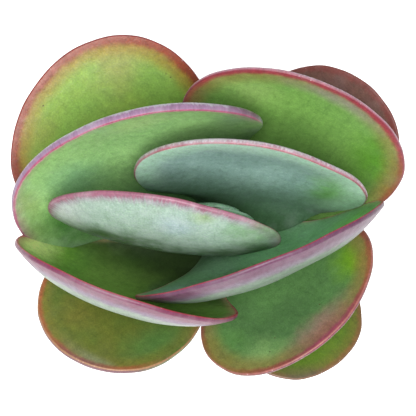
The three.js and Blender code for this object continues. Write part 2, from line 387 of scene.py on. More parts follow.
@dataclass(frozen=True)
class LeafSkin:
    """The colours of one leaf's waxy skin.

    Attributes:
        face: Main colour of the upper face.
        second: The colour that clouds it.
        heart_and_shade: The colour of the upper face towards the base: the leaf's own deeper colour, and on
            the leaves deep in the rosette painted shade of its hollow.
        heart_reach: Where the heart starts to fade and has gone, as shares of the length.
        margin: The coloured edge of the upper face.
        margin_width: The solid part of the edge, and where it has faded out.
        glow: The colour between the edge and the face.
        glow_width: Where the glow starts to fade, and where it has gone.
        hairline: The fine line along the rim.
        band: The colour of the outer face just below the rim.
        band_width: The solid part of the band, and where it has faded out.
        veil: The colour between the band and the outer face.
        veil_width: The solid part of the veil, and where it has faded out.
        under: Main colour of the outer face.
        under_second: The colour that clouds it.
        under_heart_and_shade: The colour of the outer face towards the base: the leaf's own colour, and on
            leaf_6_front_left painted shade along its lower part.
        under_reach: Where that starts to fade and has gone, as shares of the length.
        rim_reach: Where the edge's colours set in and are full, as shares of the length.
        face_light: The light that reaches the upper face in the studio.
        under_light: The light that reaches the outer face in the studio.
        rim_light: The light that reaches the rim in the studio.
        bloom: How much pale powder lies on the skin.
        specks: How plainly brown specks show.
        blushes: Patches on the upper face.
        rim_blushes: Patches of other colours in the edge and in the band.
        glow_blushes: Patches between the edge and the face.
        under_blushes: Patches on the outer face.
    """

    face: Display = (112, 160, 78)
    second: Display = (104, 148, 74)
    heart_and_shade: Display = (80, 125, 62)
    heart_reach: tuple[float, float] = (0.1, 0.55)
    margin: Display = (165, 78, 70)
    margin_width: tuple[float, float] = (1.0, 4.5)
    glow: Display = (168, 150, 72)
    glow_width: tuple[float, float] = (3.0, 12.0)
    hairline: Display = (200, 110, 105)
    band: Display = (150, 70, 85)
    band_width: tuple[float, float] = (1.5, 4.5)
    veil: Display = (165, 140, 160)
    veil_width: tuple[float, float] = (4.0, 9.0)
    under: Display = (175, 195, 165)
    under_second: Display = (155, 182, 142)
    under_heart_and_shade: Display = (150, 180, 138)
    under_reach: tuple[float, float] = (0.1, 0.5)
    rim_reach: tuple[float, float] = (0.12, 0.4)
    face_light: float = 1.2
    under_light: float = 1.9
    rim_light: float = 2.0
    bloom: float = 0.15
    specks: float = 0.0
    blushes: tuple[Blush, ...] = ()
    rim_blushes: tuple[Blush, ...] = ()
    glow_blushes: tuple[Blush, ...] = ()
    under_blushes: tuple[Blush, ...] = ()

    POWDER = (205, 212, 214)
    CORK = (96, 62, 44)
    FLECK = (245, 225, 225)
    # What the skin's darker and lighter grain multiplies the colour by
    DIM = (0.45, 0.5, 0.42, 1.0)
    BRIGHT = (1.4, 1.35, 1.35, 1.0)
    # Sizes of the clouds in the skin, and the spacing of its marks
    BROAD = 34.0
    MIDDLING = 9.0
    MOTTLE = 3.5
    VEIN = 2.2
    VEIN_STRETCH = 0.16
    FINE = 0.9
    SPECK_SPACING = 5.5
    FLECK_SPACING = 2.6
    # How far the edge's colours wander, and how far their streaks reach on each face
    RAGGED = 3.0
    FACE_STREAK = 1.5
    OUTER_STREAK = 5.0
    # How much each layer hides of the one below
    CLOUDY = (0.38, 0.62)
    COVER = 0.92
    VEIL_COVER = 0.9
    GLOW_COVER = 0.85
    VEIL_PATCHES = 0.7
    GLOW_PATCHES = 0.6
    LINE_WIDTH = (0.15, 0.75)
    RELIEF = 0.25

    def patched(
        self,
        paint: Paint,
        plan: Any,
        cloud: Field,
        colour: Any,
        blushes: Sequence[Blush],
        light: float,
        share: float = 1.0,
    ) -> Any:
        """Lays patches over a colour.

        Args:
            paint: The paint to add nodes to.
            plan: The place on the flattened leaf.
            cloud: Noise that makes the patches' edges uneven.
            colour: The colour under them.
            blushes: The patches.
            light: The light that reaches them.
            share: How much of each patch's strength shows.

        Returns:
            The colour with its patches.
        """
        for blush in blushes:
            reach_along, reach_across = blush.size
            scale = (1 / reach_along, 1 / reach_across, 0)
            shift = (-blush.along / reach_along, -blush.across / reach_across, 0)
            place = paint.vector("MULTIPLY_ADD", plan, scale, shift).outputs[0]
            away = Field(paint, paint.vector("LENGTH", place).outputs["Value"])
            shown = (away + (cloud - 0.5) * 0.6).fall(0.05, 1.0) * (blush.strength * share)
            colour = paint.blend(shown, colour, lit(blush.colour, light))
        return colour

    def make(self, name: str, length: float, seed: int) -> bpy.types.Material:
        """Makes the leaf's material.

        Args:
            name: The material's name.
            length: The leaf's length.
            seed: A number that sets this leaf's noise apart.

        Returns:
            The material.
        """
        paint = Paint(name)
        plan = paint.stored("plan")
        edge, run, _ = paint.parts(paint.stored("rim"))
        apart = paint.vector("ADD", plan, (seed * 173.0, seed * 71.0, 0)).outputs[0]
        along = paint.parts(plan)[0]
        drawn_out = paint.vector("MULTIPLY", apart, (self.VEIN_STRETCH, 1, 1)).outputs[0]
        broad = paint.grain(apart, self.BROAD)
        middling = paint.grain(apart, self.MIDDLING)
        mottle = paint.grain(apart, self.MOTTLE, detail=4)
        fine = paint.grain(apart, self.FINE, detail=4)
        vein = paint.grain(drawn_out, self.VEIN, detail=4)
        streak = paint.grain(paint.joined(run * 0.9, edge * 0.1, seed * 5.0), 1.0)
        ragged = (middling - 0.5) * self.RAGGED
        inside = ragged + (streak - 0.5) * self.FACE_STREAK - edge
        outside = ragged + (streak - 0.5) * self.OUTER_STREAK + edge
        low, high = self.rim_reach
        rimward = along.rise(length * low, length * high)
        patched = partial(self.patched, paint, plan, middling)

        def towards_base(reach: tuple[float, float]) -> Field:
            """A mask that is full at the base and gone past a share of the length."""
            start, stop = reach
            return (along + (middling - 0.5) * 8).fall(length * start, length * stop)

        light = self.face_light
        face = paint.blend(broad.rise(*self.CLOUDY), lit(self.face, light), lit(self.second, light))
        face = patched(face, self.blushes, light)
        # Towards the base the upper face takes the heart colour: the leaf's own deeper colour, and on the
        # leaves deep in the rosette painted shade of its hollow.
        face = paint.blend(towards_base(self.heart_reach) * self.COVER, face, lit(self.heart_and_shade, light))
        glow = patched(lit(self.glow, light), self.rim_blushes, light, self.GLOW_PATCHES)
        glow = patched(glow, self.glow_blushes, light)
        face = paint.blend(inside.fall(*self.glow_width) * rimward * self.GLOW_COVER, face, glow)
        margin = patched(lit(self.margin, light), self.rim_blushes, light)
        face = paint.blend(inside.fall(*self.margin_width) * rimward * self.COVER, face, margin)

        light = self.under_light
        under = paint.blend(broad.rise(*self.CLOUDY), lit(self.under, light), lit(self.under_second, light))
        under = patched(under, self.under_blushes, light)
        # Towards the base the outer face takes the under_heart_and_shade colour, which on leaf_6_front_left
        # is painted shade along its lower part.
        under = paint.blend(towards_base(self.under_reach) * self.COVER, under, lit(self.under_heart_and_shade, light))
        veil = patched(lit(self.veil, light), self.rim_blushes, light, self.VEIL_PATCHES)
        under = paint.blend(outside.fall(*self.veil_width) * rimward * self.VEIL_COVER, under, veil)
        band = patched(lit(self.band, light), self.rim_blushes, light)
        under = paint.blend(outside.fall(*self.band_width) * rimward * self.COVER, under, band)

        colour = paint.blend(edge.rise(-0.1, 0.4), face, under)
        line = abs(edge).fall(*self.LINE_WIDTH) * streak.rise(0.2, 0.45) * rimward
        colour = paint.blend(line * 0.9, colour, lit(self.hairline, self.rim_light))
        fleck = paint.cells(paint.joined(run, edge, seed * 3.0), self.FLECK_SPACING).fall(0.06, 0.14)
        fleck = fleck * abs(edge).fall(0.3, 1.2) * 0.5 * rimward
        colour = paint.blend(fleck, colour, lit(self.FLECK, self.rim_light))

        dim = vein.rise(0.5, 0.72) * 0.2 + mottle.rise(0.48, 0.68) * 0.26 + fine.fall(0.32, 0.5) * 0.24
        colour = paint.blend(dim, colour, self.DIM, "MULTIPLY")
        bright = fine.rise(0.5, 0.7) * 0.5 + mottle.fall(0.3, 0.48) * 0.4
        colour = paint.blend(bright, colour, self.BRIGHT, "MULTIPLY")
        light = (self.face_light + self.under_light) / 2
        speck = paint.cells(apart, self.SPECK_SPACING).fall(0.04, 0.1) * middling.rise(0.45, 0.6)
        colour = paint.blend(speck * self.specks, colour, lit(self.CORK, light))
        powder = (broad + middling).rise(0.85, 1.25) * edge.rise(-30, 12) * self.bloom
        colour = paint.blend(powder, colour, lit(self.POWDER, light))
        roughness = 0.42 + powder * 0.5 + (mottle - 0.5) * 0.2
        height = fine * 0.3 + mottle * 0.7 + streak * edge.rise(-6, 0) * 0.3 - speck * 0.3
        return paint.finish(
            colour, roughness, height, self.RELIEF,
            Specular_IOR_Level=0.35, Subsurface_Weight=0.1,
            Subsurface_Radius=(0.5, 1.0, 0.3), Subsurface_Scale=1.5 * MM,
        )


# Outline of the stem: height above the floor and radius
STEM_PROFILE = ((54, 5), (60, 7.5), (74, 9), (92, 10), (116, 9), (132, 6), (136, 4))
STEM_AXIS = (4.0, -3.0)


def stem_radius(height: float) -> float:
    """The stem's radius at a height."""
    heights, radii = zip(*STEM_PROFILE)
    return float(np.interp(height, heights, radii))


@dataclass(frozen=True)
class Leaf:
    """A fleshy paddle-shaped leaf, which follows its plain solid but is finer and has a thinner rim.

    Attributes:
        name: The name of its plain solid.
        node: Height on the stem where it starts.
        azimuth: The direction it grows in, from +X towards +Y, in degrees.
        rise: Its angle above the horizontal at the base and at the tip, in degrees.
        turn: How far it is twisted about its midrib at those ends, in degrees.
        lean: How far its midrib leans sideways in the blade's own plane, in degrees.
        cup: How far each half curls up across its width, in degrees.
        length: Its length.
        width: Its width.
        thick: Its thickness.
        widest: Where its widest place lies along its length.
        wedge: A higher number narrows it sooner towards its base.
        rim: Its thickness at the rim, from which the outer face swells to the full thickness.
        slot: The record's slot for its finish; nothing reads it.
        skin: Its colours.
    """

    name: str
    node: float
    azimuth: float
    rise: tuple[float, float]
    turn: tuple[float, float]
    lean: float
    cup: float
    length: float
    width: float
    thick: float
    widest: float = 0.64
    wedge: float = 3.3
    rim: float = 2.2
    slot: Slot = Slot.GROWN_LEAF
    skin: LeafSkin = field(default_factory=LeafSkin)

    BLUNT = 0.95
    ROOT_RADIUS = 3.0
    BASE_SWELL = 1.35
    SWELL_REACH = 0.4
    TWIST_REACH = 0.3
    CUP_REACH = 0.5
    FLATTEST_CURL = 1e-6
    CORNER = 0.8
    TAPER = 26.0
    TAPER_SHARE = 0.8
    SPINE_START = 8.0
    SPINE_TIP_SHARE = 0.42
    # Millimetres that the midrib is worked out past each end
    OVERRUN = 4
    TIP_STEPS = 44
    FLANK_STEPS = 34
    CORNER_STEPS = 4
    TAPER_STEPS = 14
    RINGS = (0, 0.1, 0.2, 0.3, 0.4, 0.5, 0.6, 0.7, 0.78, 0.85, 0.91)
    # Growth: the rim wanders and the blade rolls by this much
    RIM_WANDER = 0.5
    RIM_WAVES = ((2, 1.0), (3, 0.8), (5, 0.45), (9, 0.2), (17, 0.1))
    WAVE_PHASE = 0.37
    STEADY_SHARE = 0.3
    BLADE_ROLL = 0.7
    BLADE_ROLL_SIZE = 24.0
    ROLL_REACH = 0.5
    ROLL_PHASE = 3.7

    def half_outline(self) -> tuple[Array, Array]:
        """Half of the outline, from the tip to the base corner.

        Returns:
            Distances along the midrib and distances from it.
        """
        shoulder = self.length * self.widest
        tip = QUARTER_TURN * np.arange(self.TIP_STEPS) / self.TIP_STEPS
        tip_along = shoulder + (self.length - shoulder) * np.cos(tip) ** self.BLUNT
        tip_across = self.width / 2 * np.sin(tip) ** self.BLUNT
        base = stem_radius(self.node)
        flank = QUARTER_TURN * np.arange(self.FLANK_STEPS + 1) / self.FLANK_STEPS
        flare = np.cos(flank).clip(0) ** self.wedge
        flank_along = mixed(shoulder, 0, np.sin(flank))
        flank_across = base + (self.width / 2 - base) * flare
        return np.append(tip_along, flank_along), np.append(tip_across, flank_across)

    def midrib(self) -> tuple[Array, Array, Array]:
        """The midrib's points, with the directions to its side and to its upper face.

        Returns:
            Places, side directions and upward directions, one each millimetre.
        """
        heading = math.radians(self.azimuth)
        outwards = np.array((math.cos(heading), math.sin(heading), 0))
        upwards = np.array((0, 0, 1.0))
        sideways = np.cross(upwards, outwards)

        def between(start: Array, end: Array, angle: float, sign: int = 1) -> Array:
            """The direction start turned by an angle towards end, or away from it."""
            return start * math.cos(angle) + end * sign * math.sin(angle)

        place = np.array((*STEM_AXIS, self.node)) + outwards * self.ROOT_RADIUS
        place = place - between(outwards, upwards, math.radians(self.rise[0])) * self.OVERRUN
        places, sides, inners = [], [], []
        for along in range(-self.OVERRUN, math.ceil(self.length) + self.OVERRUN + 2):
            share = min(1.0, max(0.0, along / self.length))
            twisted = smooth_step(share / self.TWIST_REACH)
            climb = math.radians(mixed(*self.rise, share))
            roll = math.radians(mixed(*self.turn, share) * twisted)
            tilt = math.radians(self.lean * twisted)
            rib = between(outwards, upwards, climb)
            level = between(upwards, outwards, climb, -1)
            side = between(sideways, level, roll)
            places.append(place)
            sides.append(between(side, rib, tilt, -1))
            inners.append(between(level, sideways, roll, -1))
            place = place + between(rib, side, tilt)
        return np.array(places), np.array(sides), np.array(inners)

    def sheet(self, along: Array, across: Array, lift: Array) -> Array:
        """Points off the leaf's middle sheet.

        Args:
            along: Distances from the base.
            across: Distances from the midrib, towards the leaf's own left.
            lift: Heights off the sheet, towards the upper face.

        Returns:
            The points in space.
        """
        places, sides, inners = self.midrib()
        at = np.clip(along + self.OVERRUN, 0, len(places) - 2)
        low = np.floor(at).astype(int)
        share = (at - low)[..., None]

        def unit(rows: Array) -> Array:
            """Directions of length one."""
            return rows / np.linalg.norm(rows, axis=-1, keepdims=True)

        place = mixed(places[low], places[low + 1], share)
        side = unit(mixed(sides[low], sides[low + 1], share))
        inner = unit(mixed(inners[low], inners[low + 1], share))
        cupped = math.radians(self.cup) * smooth_step(along / self.length / self.CUP_REACH)
        curl = np.maximum(self.FLATTEST_CURL, cupped / (self.width / 2))[..., None]
        bend = curl * across[..., None]
        lift = lift[..., None]
        sideways = np.sin(bend) / curl - lift * np.sin(bend)
        return place + side * sideways + inner * ((1 - np.cos(bend)) / curl + lift * np.cos(bend))

    def section(self, reach: Array) -> tuple[Array, Array]:
        """The sections from the middle of the upper face over the rim to that of the lower face.

        Args:
            reach: For each column, the distance from the spine to the rim.

        Returns:
            Insets from the rim and lifts off the middle sheet, each as columns by rows.
        """
        top = self.thick / 2
        taper = np.minimum(self.TAPER, reach * self.TAPER_SHARE)[:, None]
        reach = reach[:, None]
        level = np.ones_like(reach)
        rings = 1 - np.array(self.RINGS)
        corner = QUARTER_TURN * np.arange(self.CORNER_STEPS) / self.CORNER_STEPS
        nose = self.rim - self.CORNER
        slope = QUARTER_TURN * (np.arange(self.TAPER_STEPS + 1) / self.TAPER_STEPS) ** 1.5
        insets = [
            self.CORNER + (reach - self.CORNER) * rings,
            self.CORNER * (1 - np.sin(corner)) * level,
            nose * (1 - np.cos(corner)) * level,
            nose + (taper - nose) * slope / QUARTER_TURN,
            taper + (reach - taper) * rings[::-1],
        ]
        lifts = [
            top * np.ones(len(rings)) * level,
            (top - self.CORNER * (1 - np.cos(corner))) * level,
            (top - self.CORNER - nose * np.sin(corner)) * level,
            (top - self.rim - (self.thick - self.rim) * np.sin(slope)) * level,
            -top * np.ones(len(rings)) * level,
        ]
        return np.hstack(insets), np.hstack(lifts)

    def wander(self, turn: Array, seed: int, strength: float) -> Array:
        """A slow wave round the rim.

        Args:
            turn: The way round the rim, from 0 to 1.
            seed: A number that sets this leaf apart.
            strength: The wave's height.

        Returns:
            Heights of the wave.
        """
        total = sum(
            size * np.sin(2 * math.pi * (count * turn + self.WAVE_PHASE * seed * count))
            for count, size in self.RIM_WAVES
        )
        return strength * total

    def blade(self, seed: int) -> tuple[Array, dict[str, Array]]:
        """The leaf's surface.

        Args:
            seed: A number that sets this leaf's small irregularities apart.

        Returns:
            Its points, as columns by rows by three, and the vectors stored at them.
        """
        half_along, half_across = self.half_outline()
        out_along = np.concatenate((half_along, [0.0], half_along[:0:-1]))
        out_across = np.concatenate((half_across, [0.0], -half_across[:0:-1]))
        spine_end = self.length - self.width * self.SPINE_TIP_SHARE
        spine = np.clip(out_along, self.SPINE_START, spine_end)
        reach = np.hypot(out_along - spine, out_across)
        inset, lift = self.section(reach)
        share = 1 - inset / reach[:, None]
        columns = len(share)

        turn = (np.arange(columns) / columns)[:, None]
        loose = smooth_step(out_along / self.length / self.STEADY_SHARE)[:, None]
        swing = 1 + self.wander(turn, seed, self.RIM_WANDER) * loose * share**4 / reach[:, None]
        along = spine[:, None] + (out_along - spine)[:, None] * share * swing
        across = out_across[:, None] * share * swing
        swell = mixed(self.BASE_SWELL, 1, smooth_step(along / self.length / self.SWELL_REACH))
        rolls = np.array([
            noise.noise(Vector((a / self.BLADE_ROLL_SIZE, c / self.BLADE_ROLL_SIZE, seed * self.ROLL_PHASE)))
            for a, c in zip(along.ravel(), across.ravel())
        ]).reshape(share.shape)
        roll = rolls * self.BLADE_ROLL * smooth_step(along / self.length / self.ROLL_REACH)
        points = self.sheet(along, across, lift * swell + roll)

        steps = np.hypot(np.diff(inset, axis=1), np.diff(lift, axis=1))
        arc = np.hstack((np.zeros((columns, 1)), np.cumsum(steps, axis=1)))
        corner_row = len(self.RINGS) + self.CORNER_STEPS // 2
        edge = arc - arc[:, corner_row:corner_row + 1]
        hops = np.hypot(np.diff(out_along), np.diff(out_across))
        run = np.concatenate(([0.0], np.cumsum(hops)))
        run = np.where(np.arange(columns) <= columns // 2, run, run - run[-1] - hops[-1])
        run = np.broadcast_to(run[:, None], share.shape)
        flat = np.zeros_like(edge)
        fields = {
            "plan": np.stack((along, across, flat), axis=-1).reshape(-1, 3),
            "rim": np.stack((edge, run, flat), axis=-1).reshape(-1, 3),
        }
        return points, fields

    def make(self, seed: int) -> bpy.types.Object:
        """Builds and dresses the leaf."""
        points, fields = self.blade(seed)
        skin = self.skin.make(f"{self.name}_skin", self.length, seed)
        faces = wrapped_faces(*points.shape[:2])
        piece = make_piece(f"{self.name}_blade", points.reshape(-1, 3), faces, fields, skin)
        install(piece, self.name)
        return piece


BUD_SKIN = LeafSkin(
    face=(98, 128, 106), second=(90, 120, 98), heart_and_shade=(60, 84, 62),
    margin=(150, 182, 158), margin_width=(0.1, 0.7), glow=(104, 138, 112),
    glow_width=(0.4, 3), hairline=(150, 178, 160), band=(120, 152, 128),
    band_width=(0.2, 1), veil=(110, 144, 118), veil_width=(0.5, 2),
    under=(108, 142, 116), under_second=(98, 132, 106), under_heart_and_shade=(60, 90, 62),
    face_light=0.7, under_light=0.75, rim_light=0.9, bloom=0.1,
)


@dataclass(frozen=True)
class Foliage:
    """The crossed pairs of leaves, oldest and lowest first."""

    leaves: tuple[Leaf, ...] = (
        Leaf(
            "leaf_1_front_right", 86, 309.5, (28, 8), (-12, -12), 3, 6, 93, 69, 4.4,
            slot=Slot.OLD_LEAF,
            skin=LeafSkin(
                face_light=1.9, under_light=2.0,
                face=(94, 128, 28), second=(108, 136, 32), heart_and_shade=(76, 114, 36),
                margin=(136, 98, 54), margin_width=(0.8, 3.5), glow=(116, 118, 44),
                glow_width=(3, 9), hairline=(150, 112, 88), bloom=0.02, specks=0.5,
                rim_blushes=(Blush(88, -20, (25, 16), (110, 100, 82), 0.9),),
            ),
        ),
        Leaf(
            "leaf_1_back_left", 86, 132, (28, 10), (-12, -12), 0, 6, 88, 70, 4.4,
            slot=Slot.OLD_LEAF,
            skin=LeafSkin(
                face_light=1.3, under_light=1.3,
                face=(118, 138, 52), second=(132, 134, 60), margin=(158, 92, 66), specks=0.5,
            ),
        ),
        Leaf(
            "leaf_2_back_right", 94, 36, (36, 30), (4, 4), 0, 8, 113, 83, 4.6,
            slot=Slot.OLD_LEAF,
            skin=LeafSkin(
                face_light=1.6, under_light=1.6,
                face=(122, 106, 72), second=(132, 92, 76), heart_and_shade=(96, 116, 60),
                margin=(138, 64, 58), margin_width=(1.2, 4), glow=(132, 88, 82),
                glow_width=(14, 38), hairline=(150, 72, 62), bloom=0.08, specks=1.0,
            ),
        ),
        Leaf(
            "leaf_2_front_left", 94, 222, (30, 32), (17, 17), 0, 9, 111, 79, 4.6, rim=4.4,
            slot=Slot.OLD_LEAF,
            skin=LeafSkin(
                face_light=1.7, under_light=1.7, rim_light=1.8,
                face=(102, 126, 54), second=(114, 124, 50), heart_and_shade=(74, 112, 50),
                margin=(178, 104, 66), margin_width=(1.0, 3.6), glow=(136, 132, 54),
                glow_width=(3, 10), hairline=(190, 142, 106), band=(128, 80, 90),
                band_width=(2.5, 5), veil=(150, 130, 156), veil_width=(4, 8), bloom=0.04,
                specks=0.5,
                blushes=(
                    Blush(74, 32, (30, 24), (98, 140, 70), 0.95),
                    Blush(92, -10, (14, 18), (134, 128, 56), 0.6),
                ),
                rim_blushes=(
                    Blush(112, 16, (14, 30), (132, 84, 92), 0.95),
                    Blush(70, 40, (34, 18), (98, 128, 58), 0.95),
                ),
                glow_blushes=(Blush(104, 16, (7, 30), (156, 166, 128), 0.7),),
            ),
        ),
        Leaf(
            "leaf_3_back_left", 102, 138, (38, 24), (-13, -13), 4, 8, 121, 104, 4.8, 0.62,
            slot=Slot.OLD_LEAF,
            skin=LeafSkin(
                face_light=1.75, under_light=1.9,
                face=(144, 190, 78), second=(152, 188, 78), heart_and_shade=(114, 180, 62),
                margin=(152, 50, 30), margin_width=(2.2, 6), glow=(166, 136, 46),
                glow_width=(5, 13), hairline=(158, 62, 54), bloom=0.02, specks=0.9,
                blushes=(
                    Blush(97, -30, (18, 24), (168, 166, 92), 0.7),
                    Blush(78, -34, (20, 16), (136, 184, 78), 0.8),
                    Blush(104, 24, (12, 22), (156, 164, 74), 0.6),
                ),
                rim_blushes=(Blush(84, 46, (44, 18), (132, 34, 14), 0.85),),
            ),
        ),
        Leaf(
            "leaf_3_front_right", 102, 310, (32, 52), (2, 2), 2, 10, 105, 98, 4.8, 0.6,
            slot=Slot.OLD_LEAF,
            skin=LeafSkin(
                face_light=1.3, under_light=2.0,
                face=(94, 138, 78), second=(86, 126, 74), heart_and_shade=(70, 110, 58),
                margin=(148, 76, 66), margin_width=(1.2, 4), glow=(140, 132, 72),
                glow_width=(4, 14), hairline=(188, 118, 110), band=(142, 78, 92),
                band_width=(0.6, 2.2), veil=(180, 140, 144), bloom=0.04, specks=0.8,
                blushes=(
                    Blush(78, 34, (20, 16), (118, 168, 34), 0.9),
                    Blush(99, -2, (18, 36), (158, 122, 114), 0.95),
                    Blush(88, -32, (22, 20), (140, 178, 110), 0.8),
                    Blush(58, -36, (24, 14), (96, 146, 74), 0.8),
                ),
                rim_blushes=(
                    Blush(88, 36, (22, 18), (160, 104, 66)),
                    Blush(103, -2, (20, 34), (150, 68, 92), 0.95),
                    Blush(68, -42, (30, 18), (134, 122, 52), 0.9),
                ),
            ),
        ),
        Leaf(
            "leaf_4_back_right", 111, 48, (41, 76), (22, 22), -3, 14, 125, 112, 5, 0.62,
            skin=LeafSkin(
                face_light=1.2, under_light=2.0, rim_reach=(0.46, 0.6),
                face=(116, 160, 78), second=(108, 152, 74), heart_and_shade=(84, 130, 60),
                margin=(148, 44, 64), margin_width=(1.2, 4.4), glow=(134, 130, 70),
                glow_width=(3.5, 14), hairline=(152, 54, 72), band=(200, 140, 156),
                band_width=(0.5, 2.5), veil=(205, 170, 190), bloom=0.05,
                blushes=(
                    Blush(100, 30, (18, 22), (138, 168, 96), 0.7),
                    Blush(92, -40, (34, 22), (82, 134, 40), 0.95),
                ),
                rim_blushes=(
                    Blush(84, -52, (34, 30), (124, 74, 40), 0.95),
                    Blush(80, 52, (18, 12), (156, 98, 66), 0.7),
                ),
                glow_blushes=(Blush(114, -6, (16, 36), (148, 132, 132), 0.95),),
            ),
        ),
        Leaf(
            "leaf_4_front_left", 111, 224.5, (20, 100), (25, 25), 0, 24, 140, 112, 5, 0.6,
            skin=LeafSkin(
                face_light=0.65, under_light=2.2,
                # The near-black colour towards the base is painted shade of the rosette's hollow.
                face=(118, 158, 74), second=(104, 150, 64), heart_and_shade=(22, 30, 18),
                heart_reach=(0.24, 0.58),
                margin=(170, 90, 92), margin_width=(0.6, 2), glow=(150, 140, 96),
                glow_width=(1, 7), hairline=(208, 58, 78), band=(146, 62, 98),
                band_width=(5, 10.5), veil=(150, 116, 154), veil_width=(10, 15.5),
                under=(184, 202, 186), under_second=(172, 196, 170), bloom=0.12,
                blushes=(
                    Blush(74, -42, (30, 14), (104, 156, 44), 0.85),
                    Blush(88, -50, (28, 18), (206, 220, 146), 0.95),
                    Blush(58, 8, (20, 8), (78, 106, 92), 0.6),
                ),
            ),
        ),
        Leaf(
            "leaf_5_back_left", 120, 131, (48, 88), (-22, -22), 16, 26, 123, 130, 5, 0.58, 4.4, 4.2,
            skin=LeafSkin(
                face_light=1.05, under_light=2.0, rim_reach=(0.5, 0.68),
                # The dark colour towards the base is painted shade where the blade goes down into the
                # rosette.
                face=(148, 190, 120), second=(138, 180, 114), heart_and_shade=(58, 96, 56),
                heart_reach=(0.2, 0.72),
                # The pale pink edge is the leaf's own pink with a painted highlight along the rim's corner.
                margin=(200, 134, 152), margin_width=(0.3, 1.6), glow=(138, 154, 108),
                glow_width=(1, 7), hairline=(182, 82, 118), band=(172, 130, 168),
                band_width=(2.2, 4.2), veil=(214, 206, 226), veil_width=(3.5, 7),
                under=(200, 214, 200), bloom=0.2,
                blushes=(
                    Blush(84, -58, (20, 14), (112, 146, 100), 0.8),
                    Blush(86, 26, (26, 20), (114, 158, 118), 0.7),
                    Blush(98, 50, (18, 12), (134, 156, 94), 0.8),
                    Blush(82, 58, (22, 12), (116, 146, 86), 0.8),
                    Blush(108, -20, (14, 30), (162, 190, 124), 0.6),
                    # Painted shade next to the inner leaves.
                    Blush(66, 47, (24, 16), (58, 106, 40), 0.95),
                ),
                rim_blushes=(
                    Blush(88, 62, (24, 18), (140, 88, 108), 0.95),
                    Blush(78, -62, (20, 16), (134, 84, 112), 0.95),
                ),
            ),
        ),
        Leaf(
            "leaf_5_front_right", 120, 305.8, (40, 100), (-14, -14), 0, 22, 121, 126, 5, 0.62,
            skin=LeafSkin(
                face_light=0.65, under_light=2.2,
                # The dark colour towards the base is painted shade of the rosette's hollow.
                face=(106, 158, 108), second=(116, 162, 124), heart_and_shade=(34, 48, 30),
                heart_reach=(0.06, 0.36),
                margin=(176, 100, 108), margin_width=(0.5, 1.8), glow=(140, 156, 112),
                glow_width=(0.8, 5), hairline=(204, 50, 80), band=(126, 68, 104),
                band_width=(6, 11), veil=(146, 122, 148), veil_width=(10.5, 16),
                under=(150, 174, 154), under_second=(138, 168, 140), bloom=0.1,
                blushes=(
                    Blush(75, 46, (32, 20), (102, 162, 74), 0.9),
                    Blush(76, -42, (42, 22), (136, 174, 164), 0.85),
                ),
                rim_blushes=(
                    Blush(108, 28, (12, 9), (128, 84, 112), 0.7),
                    Blush(90, 48, (28, 22), (112, 66, 94), 0.85),
                    Blush(80, -56, (20, 14), (182, 156, 140), 0.8),
                ),
                under_blushes=(Blush(97, 46, (24, 16), (138, 104, 132), 0.75),),
            ),
        ),
        Leaf(
            "leaf_6_back_right", 128, 54.5, (67, 92), (37, 25), -6, 15, 104, 110, 4.6, 0.6, 1.8, 2.8,
            slot=Slot.YOUNG_LEAF,
            skin=LeafSkin(
                face_light=1.0, under_light=2.0, rim_reach=(0.3, 0.5),
                # The dark colour towards the base is painted shade low in the rosette.
                face=(142, 170, 164), second=(128, 156, 150), heart_and_shade=(52, 88, 44),
                heart_reach=(0.12, 0.66),
                margin=(172, 190, 176), margin_width=(0.3, 1.6), glow=(172, 206, 184),
                glow_width=(4, 18), hairline=(186, 96, 112), band=(196, 150, 166),
                band_width=(0.9, 1.8), veil=(222, 208, 218), veil_width=(2.5, 5),
                under=(190, 212, 198), under_second=(176, 202, 184), bloom=0.25,
                blushes=(
                    Blush(80, -36, (18, 18), (134, 168, 132), 0.6),
                    Blush(58, 44, (26, 12), (136, 162, 160), 0.7),
                    Blush(60, -42, (34, 22), (98, 152, 72), 0.9),
                ),
            ),
        ),
        Leaf(
            "leaf_6_front_left", 128, 241, (50, 120), (29, 14), -15, 12, 110, 109, 4.6,
            slot=Slot.YOUNG_LEAF,
            skin=LeafSkin(
                face_light=0.8, under_light=1.7,
                face=(118, 152, 128), second=(104, 142, 116), heart_and_shade=(50, 76, 48),
                margin=(180, 130, 142), margin_width=(0.3, 1.4), glow=(146, 180, 158),
                hairline=(190, 84, 108), band=(166, 100, 124), band_width=(1.8, 4.6),
                veil=(172, 160, 170), veil_width=(3, 8), under=(180, 206, 190),
                # The dark colour towards the base of the outer face is painted shade on its lower part.
                under_second=(168, 196, 176), under_heart_and_shade=(68, 100, 56),
                under_reach=(0.52, 0.74), bloom=0.2,
                rim_blushes=(Blush(80, 50, (26, 18), (132, 164, 130), 0.95),),
                under_blushes=(
                    Blush(93, 11, (12, 14), (184, 206, 210), 0.8),
                    Blush(100, 24, (7, 9), (158, 186, 124), 0.7),
                    Blush(84, 44, (26, 18), (146, 186, 142), 0.9),
                    # Painted shade along the bottom of the outer face.
                    Blush(72, -22, (17, 36), (66, 98, 52), 0.95),
                    Blush(92, -44, (28, 18), (222, 230, 228), 0.85),
                ),
            ),
        ),
        Leaf(
            "leaf_7_back_left", 133, 110, (88, 93), (-30, -30), -6, 6, 34, 24, 3.2, 0.62,
            slot=Slot.YOUNG_LEAF, skin=BUD_SKIN,
        ),
        Leaf(
            "leaf_7_front_right", 133, 290, (92, 96), (-30, -30), 20, 6, 34, 24, 3.2, 0.62,
            slot=Slot.YOUNG_LEAF, skin=BUD_SKIN,
        ),
    )

    def make(self) -> None:
        """Builds every leaf."""
        for seed, leaf in enumerate(self.leaves, start=1):
            leaf.make(seed)


